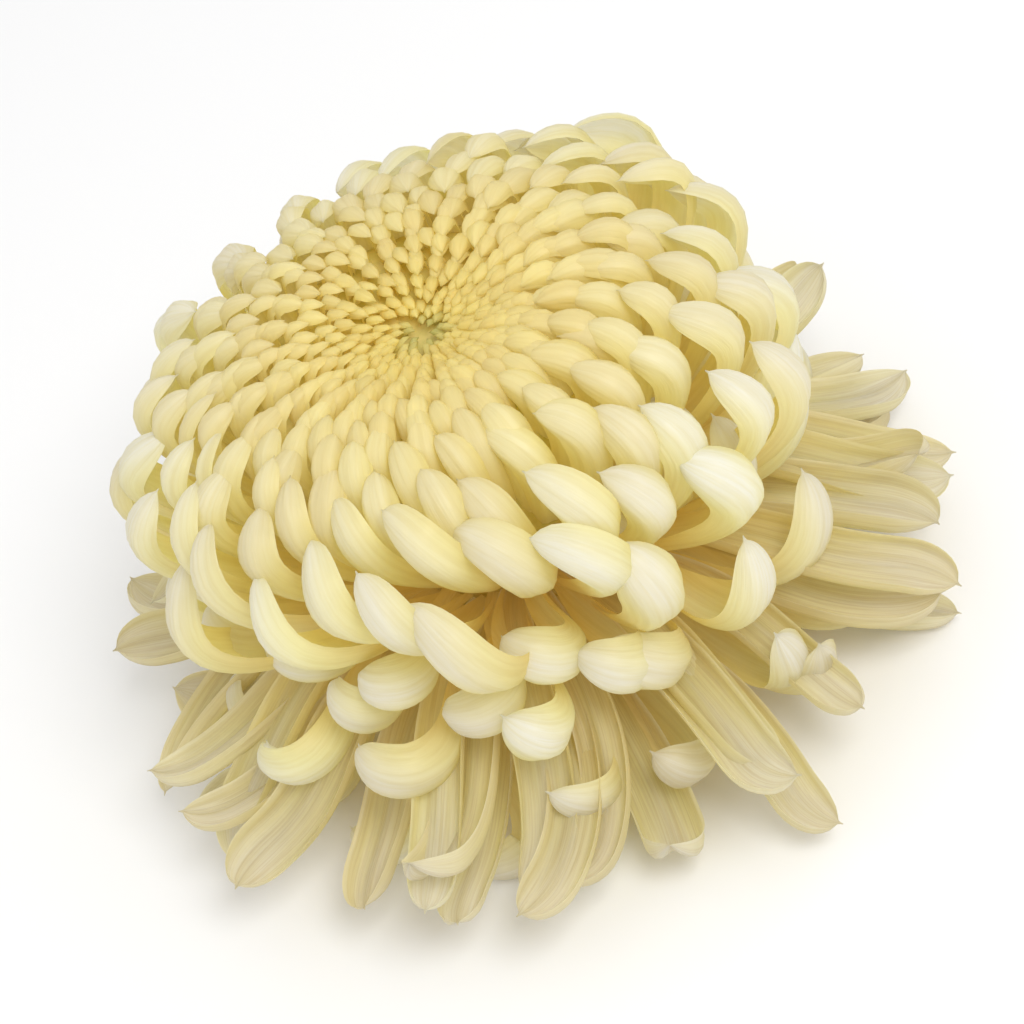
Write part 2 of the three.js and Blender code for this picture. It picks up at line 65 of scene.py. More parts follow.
# A form describes one kind of floret, with its angles in degrees. A range in it is a value,
# its change while a share goes from 0 to 1, and its random spread. The share is how far inwards
# the floret stands among its kind. In the dome's breadth, press, handle and reach it is how
# large the floret is instead, and in a claw's curl_start how near it is to the upsweep.
# A pair is the part of the length over which a blade bends or widens. A cup is the angle that
# its cross-section spans. Its nose is the length of its rounded tip and its fold the height of
# the ridges along it, both in widths.
STRAP_COUNT = 50
STRAP = dict(
    root_radius=(8.5, 1, 0),
    root_z=(15, 6, 0),
    length=(66, 3, 4),
    pitch=(6, 38, 5),
    droop=(-26, -60, 12),
    droop_range=(0, 0.75),
    curled_tip=(50, 0, 55),
    relaxed_tip=(12, 0, 30),
    tip_range=(0.6, 1.05),
    curled_above=0.3,
    hook=45,
    swept_hook=-20,
    hook_range=(0.45, 1.05),
    flick=70,
    flick_range=(0.82, 1.08),
    width=(10.2, 0, 1.7),
    cup=(115, 0, 30),
    twist=25,
    nose=0.8,
    hood=0.45,
    neck=(0.04, 0.62),
    fold=0.1,
    folds=2,
)
CLAW_COUNT = 62
CLAW = dict(
    root_radius=(9.5, 0, 0),
    root_z=(19, 3, 0),
    length=(66, -6, 4),
    pitch=(2, 58, 7),
    droop=(-45, 0, 8),
    droop_range=(0, 0.5),
    curl=(105, 25, 20),
    swept_curl=55,
    curl_start=(0.54, -0.14, 0.05),
    curl_end=1.1,
    sideways=25,
    roll=(0, 0, 20),
    swept_roll=-80,
    upswept_roll=60,
    yaw_per_roll=-0.2,
    width=(9.8, 0, 1.1),
    cup=(170, 0, 20),
    twist=14,
    nose=1.35,
    hood=0.6,
    neck=(0.2, 0.75),
    fold=0.02,
    folds=3,
)

# Straps and claws set off to one side by up to YAW_SPREAD, in degrees. The others are the parts
# of the length over which a blade rolls and twists.
YAW_SPREAD = 5
ROLL_RANGE = (0.15, 0.5)
TWIST_RANGE = (0.35, 1)

# The dome's florets start and end at these distances from the eye. An exposure is the surface
# that a floret takes up, in squares of its width. The lift of its tip, its handle, its reach
# and its depth are in widths.
DOME = dict(
    width=9.2,
    width_spread=0.1,
    breadth=(1.22, -0.12, 0),
    start=54.5,
    end=0.7,
    exposure=1.6,
    eye_exposure=1.05,
    lean=15,
    eye_lean=-10,
    press=(8, 12, 6),
    lift=(0.1, 0, 0.1),
    rim_lift=(0.25, 0, 0.25),
    handle=(3.2, -0.4, 0.4),
    reach=(4.4, -1.1, 0.4),
    clearance=1.0,
    depth=0.85,
    depth_margin=0.5,
    follow=0.9,
    lowest_shoulder_z=14.0,
    root_radius=(9.6, -9, 0),
    root_z=(21, 6, 0),
    cup=(180, 0, 14),
    twist=8,
    nose=1.3,
    hood=0.5,
    neck=(0.04, 0.62),
    fold=0.025,
    folds=3,
)

# Widths of the dome's florets: at the centre, at the edge of the eye, and their gain for each
# millimetre beyond it.
CENTRE_WIDTH = 1.1
EYE_WIDTH = 2.9
EYE_RADIUS = 20.0
WIDTH_GAIN = 0.175

# Distances from the eye over which the florets become large, and over which their shoulders
# rise out of the surface.
SIZE_RANGE = (22, 46)
SHOULDER_RANGE = (32, 54)
SHOULDER_RISE = 1.25

# A rank sets a floret's colour, from 0 in the skirt to 1 in the eye. The dome's range runs
# outwards from the eye.
STRAP_RANK = (0, 0.08, 0)
CLAW_RANK = (0.1, 0.08, 0)
DOME_RANK = (1, -0.82, 0)

# The spread of the bearings is in radians. Blades that come near the floor are eased up over
# FLOOR_EASE.
GOLDEN_ANGLE = rad(137.50776)
BEARING_SPREAD = 0.05
PATH_STEPS = 48
FLOOR_EASE = 1.2

# The head is combed over: at the sweep's bearing its florets are swept round it one way, by
# SWEEP in degrees, and on the far side the other way. Claws about the upsweep's bearing curl
# back the other way too.
SWEEP_BEARING = rad(-125)
SWEEP = -40
UPSWEEP_BEARING = rad(-5)
LOBE_RANGE = (0.35, 0.9)

# The dome's florets are shifted towards the eye on this side and away from it on the far side.
# LOPSIDE_MEAN of the shift is the same all round.
LOPSIDE_BEARING = rad(-45)
LOPSIDE = 5.0
LOPSIDE_MEAN = 0.3

# The green cup under the florets, with its bracts. Its flare is given as shares of its radius
# and heights above its foot. A bract has a range for each control point of its centre line.
CUP_FOOT_Z = 8.0
CUP_TOP_Z = 12.9
CUP_FOOT_RADIUS = 3.4
CUP_RADIUS = 10.5
CUP_FLARE = ((0.62, 1.6), (0.93, 3.6))
BRACT_ROWS = 2
BRACTS_PER_ROW = 16
BRACT = dict(
    radius=((2.4, 2.4, 0), (5, 2.4, 0), (8, 2, 0), (9.6, 3.4, 0)),
    height=((0.9, 1.2, 0), (0.7, 1.2, 0), (1.4, 2, 0), (2.9, 2.1, 0)),
    width=(4.16, 1.04, 0),
    root_share=0.7,
    thickness=0.8,
    cup=(70, 0, 0),
    twist=0,
    nose=1.1,
    hood=0.2,
    neck=(0.04, 0.62),
    fold=0.0,
    folds=1,
)

# The flower's axis stands over the middle of its peduncle.
PEDUNCLE_LOW, PEDUNCLE_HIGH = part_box("peduncle")
AXIS_X = (PEDUNCLE_LOW[0] + PEDUNCLE_HIGH[0]) / 2
AXIS_Y = (PEDUNCLE_LOW[1] + PEDUNCLE_HIGH[1]) / 2


def vary(span, share, draw):
    """The value in a range, at a share from 0 to 1 and with a draw from -1 to 1."""
    return span[0] + span[1] * share + span[2] * draw


def smooth(low, high, x):
    """0 below low and 1 above high, with a smooth step between them."""
    t = np.clip((x - low) / (high - low), 0, 1)
    return t * t * (3 - 2 * t)


def bump(low, high, x):
    """A smooth bump between low and high, whose area is 1."""
    t = (x - low) / (high - low)
    return 6 * t * (1 - t) / (high - low) if 0 < t < 1 else 0.0


# The Park-Miller generator, started from a floret's number and left to run in.
MODULUS = 2147483647
MULTIPLIER = 16807
SEED_STEP = 7919
SEED_START = 104729
RUN_IN = 3
DRAWS = 14


def draws(seed):
    """Seeded draws from -1 to 1, from a generator of its own for each floret."""
    state = (seed * SEED_STEP + SEED_START) % MODULUS
    drawn = []
    for _ in range(RUN_IN + DRAWS):
        state = state * MULTIPLIER % MODULUS
        drawn.append(state / MODULUS * 2 - 1)
    return drawn[RUN_IN:]


# ------------------------------------------------------------------ the dome's surface

# The profile reaches from its top round to PROFILE_END. Its slope is taken over SLOPE_STEP to
# either side, and the shoulders of florets stay off its end by END_MARGIN.
PROFILE_STEPS = 700
PROFILE_END = rad(140)
SLOPE_STEP = 0.4
END_MARGIN = 1


def build_profile():
    """The dome's profile as r, z and distance from the eye, down to its underside."""
    angle = np.linspace(0, PROFILE_END, PROFILE_STEPS)
    upper = angle < math.pi / 2
    r = DOME_RADIUS * np.sin(angle)
    dimple = np.where(upper, DIMPLE_DEPTH * np.exp(-((r / DIMPLE_RADIUS) ** 2)), 0)
    z = EQUATOR_Z + np.where(upper, DOME_RISE, UNDERSIDE_DEPTH) * np.cos(angle) - dimple
    s = np.concatenate([[0], np.cumsum(np.hypot(np.diff(r), np.diff(z)))])
    return r, z, s


PROFILE_R, PROFILE_Z, PROFILE_S = build_profile()


def profile_at(s):
    """The profile's point at the distance s from the eye."""
    return np.array([np.interp(s, PROFILE_S, PROFILE_R), np.interp(s, PROFILE_S, PROFILE_Z)])


def surface(s):
    """Point, direction towards the eye and outward normal, each as (r, z)."""
    run = profile_at(s - SLOPE_STEP) - profile_at(s + SLOPE_STEP)
    to_eye = run / np.linalg.norm(run)
    return profile_at(s), to_eye, np.array([to_eye[1], -to_eye[0]])


def width_at(s):
    """Width of the floret whose tip lies at the distance s from the eye."""
    eye_width = CENTRE_WIDTH + (EYE_WIDTH - CENTRE_WIDTH) * min(s / EYE_RADIUS, 1)
    return eye_width + min(max(s - EYE_RADIUS, 0) * WIDTH_GAIN, DOME["width"] - EYE_WIDTH)


def dome_places():
    """Distances of the dome's tips from the eye, from the outside in."""
    places = []
    s = DOME["start"]
    while s > DOME["end"]:
        places.append(s)
        full = float(smooth(*SIZE_RANGE, s))
        exposure = DOME["eye_exposure"] + (DOME["exposure"] - DOME["eye_exposure"]) * full
        s -= exposure * width_at(s) ** 2 / (2 * math.pi * surface(s)[0][0])
    return places


# ------------------------------------------------------------------ centre lines

UP = np.array([0.0, 0.0, 1.0])


def bearing(azimuth):
    """The head's own directions at a bearing: outward and sideways."""
    out = np.array([math.cos(azimuth), math.sin(azimuth), 0.0])
    return out, np.cross(UP, out)


def in_plane(out, point):
    """The point or direction (r, z) in the upright plane through the axis and outwards."""
    return out * point[0] + UP * point[1]


def lobe(azimuth, middle):
    """1 about the middle bearing, falling smoothly to 0 at the sides."""
    return float(smooth(*LOBE_RANGE, 0.5 + 0.5 * math.cos(azimuth - middle)))


def azimuth_of(n, draw):
    """The bearing of floret n."""
    return n * GOLDEN_ANGLE + BEARING_SPREAD * draw


def rolled(back, heading, roll):
    """The outward direction of a blade that is rolled about its heading."""
    return np.cos(roll) * back - np.sin(roll) * np.cross(heading, back)


def grow(root, length, pitch, yaw, roll, azimuth, bend, turn):
    """A centre line that turns towards its inner face by bend(a) and sideways by turn(a).

    The blade rolls about its heading on the way, over ROLL_RANGE of its length.
    """
    out, side = bearing(azimuth)
    heading = math.cos(yaw) * out + math.sin(yaw) * side
    heading = math.cos(pitch) * heading + math.sin(pitch) * UP
    back = np.cross(side, heading)
    back /= np.linalg.norm(back)
    path = [root]
    for i in range(PATH_STEPS):
        a = (i + 0.5) / PATH_STEPS
        outer = rolled(back, heading, roll * smooth(*ROLL_RANGE, a))
        across = np.cross(heading, outer)
        heading = heading - bend(a) / PATH_STEPS * outer + turn(a) / PATH_STEPS * across
        heading /= np.linalg.norm(heading)
        back = back - back @ heading * heading
        back /= np.linalg.norm(back)
        path.append(path[-1] + heading * length / PATH_STEPS)
    path = np.array(path)
    path[:, 2] = (path[:, 2] + np.hypot(path[:, 2], FLOOR_EASE)) / 2
    return path


def bezier(c0, c1, c2, c3):
    """A cubic Bezier curve as a centre line."""
    u = np.linspace(0, 1, PATH_STEPS + 1)[:, None]
    return (1 - u) ** 3 * c0 + 3 * (1 - u) ** 2 * u * c1 + 3 * (1 - u) * u * u * c2 + u ** 3 * c3


def section(form, width, d):
    """What a blade needs beside its centre line."""
    kept = {key: form[key] for key in ("nose", "hood", "neck", "fold", "folds")}
    cup = rad(vary(form["cup"], 0, d[10]))
    return dict(width=width, cup=cup, twist=rad(form["twist"] * d[11]), tint=d[0], **kept)


def strap(n):
    """A strap of the skirt: it arches out from under the head and droops."""
    d = draws(n)
    azimuth = azimuth_of(n, d[13])
    inward = n / STRAP_COUNT
    out = bearing(azimuth)[0]
    root = (vary(STRAP["root_radius"], inward, 0), vary(STRAP["root_z"], inward, 0))
    droop = rad(vary(STRAP["droop"], inward, d[2]))
    curled = d[4] > STRAP["curled_above"]
    tip = vary(STRAP["curled_tip"], 0, d[5]) if curled else vary(STRAP["relaxed_tip"], 0, d[3])
    curl = rad(tip)
    swept = lobe(azimuth, SWEEP_BEARING)
    hook = rad(STRAP["hook"] * d[7] * abs(d[7]) + STRAP["swept_hook"] * swept)
    flick = rad(STRAP["flick"] * d[12])
    path = grow(
        root=in_plane(out, root),
        length=vary(STRAP["length"], inward, d[6]),
        pitch=rad(vary(STRAP["pitch"], inward, d[1])),
        yaw=rad(YAW_SPREAD * d[8]),
        roll=0,
        azimuth=azimuth,
        bend=lambda a: droop * bump(*STRAP["droop_range"], a) + curl * bump(*STRAP["tip_range"], a),
        turn=lambda a: hook * bump(*STRAP["hook_range"], a) + flick * bump(*STRAP["flick_range"], a),
    )
    parts = section(STRAP, vary(STRAP["width"], 0, d[9]), d)
    return dict(path=path, azimuth=azimuth, rank=vary(STRAP_RANK, inward, 0), **parts)


def claw(n):
    """A claw: it arches out from under the dome's rim and curls up and in."""
    d = draws(n)
    azimuth = azimuth_of(n, d[13])
    inward = (n - STRAP_COUNT) / CLAW_COUNT
    out = bearing(azimuth)[0]
    root = (vary(CLAW["root_radius"], inward, 0), vary(CLAW["root_z"], inward, 0))
    swept = lobe(azimuth, SWEEP_BEARING)
    upswept = lobe(azimuth, UPSWEEP_BEARING)
    curl = rad(vary(CLAW["curl"], inward, d[2]) + CLAW["swept_curl"] * swept)
    swept_roll = CLAW["swept_roll"] * swept + CLAW["upswept_roll"] * upswept
    roll = rad(swept_roll + vary(CLAW["roll"], 0, d[4]))
    curl_range = (vary(CLAW["curl_start"], upswept, d[5]), CLAW["curl_end"])
    droop = rad(vary(CLAW["droop"], inward, d[6]))
    path = grow(
        root=in_plane(out, root),
        length=vary(CLAW["length"], inward, d[3]),
        pitch=rad(vary(CLAW["pitch"], inward, d[1])),
        yaw=rad(YAW_SPREAD * d[8]) + CLAW["yaw_per_roll"] * roll,
        roll=roll,
        azimuth=azimuth,
        bend=lambda a: droop * bump(*CLAW["droop_range"], a) + curl * bump(*curl_range, a),
        turn=lambda a: rad(CLAW["sideways"] * d[7]) * bump(*curl_range, a),
    )
    parts = section(CLAW, vary(CLAW["width"], 0, d[9]), d)
    rank = vary(CLAW_RANK, inward, 0)
    return dict(path=path, azimuth=azimuth, rank=rank, roll=roll, **parts)


def dome_floret(n, s, inward):
    """An incurved floret whose tip lies on the dome and points at the eye."""
    d = draws(n)
    azimuth = azimuth_of(n, d[13])
    out, side = bearing(azimuth)
    big = float(smooth(*SIZE_RANGE, s))
    width = width_at(s) * (1 + DOME["width_spread"] * d[1])
    swept = SWEEP * math.cos(azimuth - SWEEP_BEARING) * big
    lean = rad(swept + DOME["lean"] * d[4] + DOME["eye_lean"] * (1 - big))
    press = rad(vary(DOME["press"], big, d[2]))
    shift = LOPSIDE * (LOPSIDE_MEAN + math.cos(azimuth - LOPSIDE_BEARING))
    s -= shift * math.sin(math.pi * s / DOME["start"]) ** 2
    point, to_eye, up = surface(s)
    normal = in_plane(out, up)
    along = math.cos(lean) * in_plane(out, to_eye) + math.sin(lean) * side
    heading = math.cos(press) * along - math.sin(press) * normal
    lift = vary(DOME["lift"], 0, d[3]) + vary(DOME["rim_lift"], 0, d[7]) * big
    tip = in_plane(out, point) + lift * width * normal
    handle = vary(DOME["handle"], big, d[5]) * width
    reach = vary(DOME["reach"], big, d[6]) * width + DOME["clearance"]
    point, to_eye, up = surface(min(s + reach * math.cos(lean), PROFILE_S[-1] - END_MARGIN))
    sunk = 1 - SHOULDER_RISE * float(smooth(*SHOULDER_RANGE, s))
    depth = (DOME["depth"] * width + DOME["depth_margin"]) * sunk
    shoulder = in_plane(out, point) - depth * in_plane(out, up)
    shoulder -= DOME["follow"] * handle * math.sin(lean) * side
    shoulder[2] = max(shoulder[2], DOME["lowest_shoulder_z"])
    root = (vary(DOME["root_radius"], inward, 0), vary(DOME["root_z"], inward, 0))
    path = bezier(in_plane(out, root), shoulder, tip - handle * heading, tip)
    rank = vary(DOME_RANK, s / DOME["start"], 0)
    broad = vary(DOME["breadth"], big, 0) * width
    return dict(path=path, azimuth=azimuth, rank=rank, **section(DOME, broad, d))


def bract(row, index):
    """A green bract of the involucre: rows run from the lowest and outermost inwards."""
    inward = row / (BRACT_ROWS - 1)
    azimuth = (index + 0.5 * (row % 2)) / BRACTS_PER_ROW * 2 * math.pi
    out = bearing(azimuth)[0]
    controls = [
        in_plane(out, (vary(radius, inward, 0), CUP_FOOT_Z + vary(height, inward, 0)))
        for radius, height in zip(BRACT["radius"], BRACT["height"])
    ]
    parts = section(BRACT, vary(BRACT["width"], inward, 0), draws(index))
    kept = {key: BRACT[key] for key in ("root_share", "thickness")}
    return dict(path=bezier(*controls), azimuth=azimuth, rank=0.0, **parts, **kept)


# ------------------------------------------------------------------ meshes

# The nib is NIB_LENGTH long on a floret of NIB_FULL_WIDTH or more, and in step with the width
# on smaller ones. NIB_SHARE and ROOT_SHARE are shares of the blade's width.
NIB_LENGTH = 1.0
NIB_FULL_WIDTH = 8.0
NIB_SHARE = 0.09
ROOT_SHARE = 0.22
ROOT_CUP = rad(240)

# Parts of the length over which a blade opens to its cup and its folds come up, and the power
# by which its rings lie closer together towards the tip.
OPENING_RANGE = (0, 0.5)
FOLDING_RANGE = (0.2, 0.5)
TIP_CROWDING = 1.5

# PETAL_THICKNESS is that of a blade as wide as THICKNESS_WIDTH. It loses EDGE_THINNING of it
# towards its rims, and keeps THINNEST_TIP of it, and of the nib's width, at the tip.
PETAL_THICKNESS = 0.45
THICKNESS_WIDTH = 10.0
EDGE_THINNING = 0.75
THINNING_POWER = 3
THINNEST_TIP = 0.2

# Points farther across than this, from the middle (0) to the edge (1), lie on the rim.
RIM = 0.999


def directions(floret, middle, a):
    """The blade's own directions along its centre line: across it and out of its back."""
    heading = np.gradient(middle, a, axis=0)
    heading /= np.linalg.norm(heading, axis=1)[:, None]
    back = np.zeros_like(middle)
    back[0] = np.cross(bearing(floret["azimuth"])[1], heading[0])
    for i in range(len(middle)):
        carried = back[max(i - 1, 0)]
        carried = carried - carried @ heading[i] * heading[i]
        back[i] = carried / np.linalg.norm(carried)
    across = np.cross(heading, back)
    roll = floret.get("roll", 0) * smooth(*ROLL_RANGE, a)
    twist = (roll + floret["twist"] * smooth(*TWIST_RANGE, a))[:, None]
    wide = across * np.cos(twist) + back * np.sin(twist)
    deep = back * np.cos(twist) - across * np.sin(twist)
    return wide, deep


def outline(floret, a, length):
    """Shares of the full width along a blade: that of its body and that of its rounded end."""
    width = floret["width"]
    root_share = floret.get("root_share", ROOT_SHARE)
    to_tip = (1 - a) * length
    nib = NIB_LENGTH * min(1, width / NIB_FULL_WIDTH)
    nose = np.clip(1 - (to_tip - nib) / (floret["nose"] * width), 0, 1)
    end = np.maximum(np.sqrt(1 - nose ** 2), NIB_SHARE * np.clip(to_tip / nib, THINNEST_TIP, 1))
    return root_share + (1 - root_share) * smooth(*floret["neck"], a), end


def floret_mesh(floret, rows, columns):
    """Rings of points round a floret's blade, with its paint coordinates.

    The blade is rolled nearly shut at its root and opens to its cup. Its tip is rounded, bent
    inwards by its hood, and drawn out to a small nib. A low blade is eased up off the floor.
    """
    path = floret["path"]
    width = floret["width"]
    travel = np.concatenate([[0], np.cumsum(np.linalg.norm(np.diff(path, axis=0), axis=1))])
    length = travel[-1]
    a = 1 - (1 - np.linspace(0, 1, rows)) ** TIP_CROWDING
    middle = np.stack([np.interp(a * length, travel, path[:, k]) for k in range(3)], 1)
    wide, deep = directions(floret, middle, a)
    body, end = outline(floret, a, length)
    opening = smooth(*OPENING_RANGE, a)
    cup = ROOT_CUP * (1 - opening) + floret["cup"] * opening
    half = np.minimum(cup / 2, math.pi / 2)
    full_radius = width * body / (2 * np.sin(half))
    radius = full_radius * end
    drop = floret["hood"] * (full_radius - radius)
    v = np.linspace(-1, 1, columns)
    angle = cup[:, None] * v[None] / 2
    fold = -floret["fold"] * width * np.cos(floret["folds"] * math.pi * v)[None]
    fold = fold * (end * body * smooth(*FOLDING_RANGE, a))[:, None]
    thickness = floret.get("thickness", PETAL_THICKNESS * math.sqrt(width / THICKNESS_WIDTH))
    thickness = thickness * (1 - EDGE_THINNING * np.abs(v) ** THINNING_POWER)[None]
    thickness = thickness * np.clip(end, THINNEST_TIP, 1)[:, None]
    x = radius[:, None] * np.sin(angle)
    y = radius[:, None] * (np.cos(angle) - 1) - drop[:, None]

    def face(offset):
        """The blade's surface, at an offset outwards from its middle layer."""
        px = x + np.sin(angle) * offset
        py = y + np.cos(angle) * offset
        return middle[:, None] + px[..., None] * wide[:, None] + py[..., None] * deep[:, None]

    outer = face(fold + thickness / 2)
    inner = face(fold - thickness / 2)
    ring = np.concatenate([outer, inner[:, 1:-1][:, ::-1]], axis=1)
    lowest = ring[..., 2].min(axis=1, keepdims=True)
    ring[..., 2] += (np.hypot(lowest, FLOOR_EASE) - lowest) / 2
    sides = ring.shape[1]
    around = np.concatenate([v, v[1:-1][::-1]])
    paint = dict(
        along=np.repeat(a, sides),
        across=np.tile(around, rows),
        reach=np.repeat(a * length, sides),
        side=np.repeat(width * body, sides) / 2 * np.tile(around, rows),
    )
    return ring.reshape(-1, 3), ring_faces(rows, sides), sides, paint


def ring_faces(rows, sides):
    """Quads between rings of equally many points."""
    i = np.arange(rows - 1)[:, None] * sides
    k = np.arange(sides)[None]
    k2 = (k + 1) % sides
    return np.stack([i + k, i + k2, i + sides + k2, i + sides + k], -1).reshape(-1, 4)


def add_piece(name, mesh, material, node):
    """Links a mesh as a smooth piece that takes the node's place."""
    mesh.polygons.foreach_set("use_smooth", [True] * len(mesh.polygons))
    mesh.materials.append(material)
    piece = bpy.data.objects.new(name, mesh)
    bpy.context.scene.collection.objects.link(piece)
    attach(piece, "root")
    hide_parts(node)


def placed(points):
    """Points in millimetres round the axis, in metres and in the part's place."""
    return (np.asarray(points) * MM + (AXIS_X, AXIS_Y, 0)).tolist()


def floret_piece(name, florets, rows, columns, material, slot, node):
    """One piece of many florets, in the place of the node."""
    points, quads, caps = [], [], []
    paint = {key: [] for key in ("along", "across", "reach", "side", "rank", "tint")}
    start = 0
    for floret in florets:
        vertices, faces, sides, coordinates = floret_mesh(floret, rows, columns)
        points.append(vertices)
        quads.append(faces + start)
        caps.append([start + i for i in range(sides)][::-1])
        caps.append([start + len(vertices) - sides + i for i in range(sides)])
        for key in ("rank", "tint"):
            coordinates[key] = np.full(len(vertices), floret[key])
        for key, values in coordinates.items():
            paint[key].append(values)
        start += len(vertices)
    mesh = bpy.data.meshes.new(name)
    mesh.from_pydata(placed(np.concatenate(points)), [], np.concatenate(quads).tolist() + caps)
    for key, values in paint.items():
        layer = mesh.attributes.new(key, "FLOAT", "POINT")
        layer.data.foreach_set("value", np.concatenate(values).astype(np.float32))
    mark_rims(mesh, np.abs(np.concatenate(paint["across"])) > RIM, sides)
    add_piece(name, mesh, material, node)


def mark_rims(mesh, rim, sides):
    """Marks the edges that run along the florets' rims as sharp."""
    mesh.update()
    ends = np.zeros(2 * len(mesh.edges), int)
    mesh.edges.foreach_get("vertices", ends)
    ends = ends.reshape(-1, 2)
    sharp = rim[ends[:, 0]] & rim[ends[:, 1]] & (np.abs(ends[:, 1] - ends[:, 0]) == sides)
    mesh.attributes.new("sharp_edge", "BOOLEAN", "EDGE").data.foreach_set("value", sharp)


LATHE_SIDES = 96


def lathe_piece(name, profile, material, node):
    """A piece turned from its profile of (r, z) round the flower's axis."""
    turn = np.arange(LATHE_SIDES) * 2 * math.pi / LATHE_SIDES
    points = [(r * math.cos(t), r * math.sin(t), z) for r, z in profile for t in turn]
    mesh = bpy.data.meshes.new(name)
    mesh.from_pydata(placed(points), [], ring_faces(len(profile), LATHE_SIDES).tolist())
    add_piece(name, mesh, material, node)


# A turned profile starts and ends this near to the axis.
NEAR_AXIS = 0.01

# The core's foot as (r, z), and the distances from the eye between which the core follows the
# dome. It lies under it by a margin and some widths of floret, and deeper towards the rim.
CORE_FOOT_Z = 13.2
CORE_FOOT_RADIUS = 9.5
CORE_FOOT = ((NEAR_AXIS, CORE_FOOT_Z), (CORE_FOOT_RADIUS, CORE_FOOT_Z), (14, 18), (20, 33))
CORE_START = 60
CORE_END = 0.5
CORE_ROWS = 40
CORE_MARGIN = 1.2
CORE_WIDTHS = 1.1
CORE_RIM_DEPTH = 15
CORE_RIM_RANGE = (28, 56)


def core_profile():
    """A smaller dome that carries the florets, well under their tips, and its foot."""
    profile = list(CORE_FOOT)
    for s in np.linspace(CORE_START, CORE_END, CORE_ROWS):
        point, _, up = surface(s)
        rim = CORE_RIM_DEPTH * smooth(*CORE_RIM_RANGE, s)
        profile.append(tuple(point - (CORE_MARGIN + CORE_WIDTHS * width_at(s) + rim) * up))
    return profile


def cup_profile():
    """The flared cup that carries the bracts, from its foot up."""
    profile = [(NEAR_AXIS, CUP_FOOT_Z), (CUP_FOOT_RADIUS, CUP_FOOT_Z)]
    profile += [(share * CUP_RADIUS, CUP_FOOT_Z + height) for share, height in CUP_FLARE]
    return profile + [(CUP_RADIUS, CUP_TOP_Z), (NEAR_AXIS, CUP_TOP_Z)]


# ------------------------------------------------------------------ materials

# The gold at a petal's root is partly its own colour and partly painted shade for the deep of the
# head.
ROOT_GOLD_AND_SHADE = (0.955, 0.85, 0.36, 1)
MIDDLE_CREAM = (0.955, 0.935, 0.66, 1)
TIP_CREAM = (0.96, 0.96, 0.93, 1)
EYE_YELLOW = (0.985, 0.905, 0.32, 1)
EYE_OLIVE = (0.55, 0.55, 0.10, 1)
SKIRT_BEIGE_AND_SHADE = (0.945, 0.925, 0.865, 1)
SKIRT_VEIN = (0.93, 0.905, 0.87, 1)
SKIRT_KEEL_SHADE = (0.94, 0.92, 0.82, 1)
SKIRT_RIM_LIGHT = (0.95, 0.93, 0.82, 1)
VEIN_SHADE = (0.95, 0.93, 0.83, 1)
TINT_SHADE = (0.98, 0.96, 0.90, 1)
CORE_SHADE_GOLD = (0.80, 0.66, 0.24, 1)
CORE_SHADE_OLIVE = (0.66, 0.58, 0.18, 1)
BRACT_GREEN = (0.21, 0.30, 0.08, 1)
BRACT_PALE = (0.36, 0.44, 0.16, 1)
STALK_GREEN = (0.25, 0.36, 0.10, 1)
STALK_PALE = (0.42, 0.50, 0.22, 1)
CUT_PALE = (0.72, 0.76, 0.50, 1)
FLOOR_WHITE = (0.93, 0.93, 0.93, 1)

# The Mix node's own numbers for its factor, its two colours and its resulting colour.
MIX_INPUTS = (0, 6, 7)
MIX_RESULT = 2


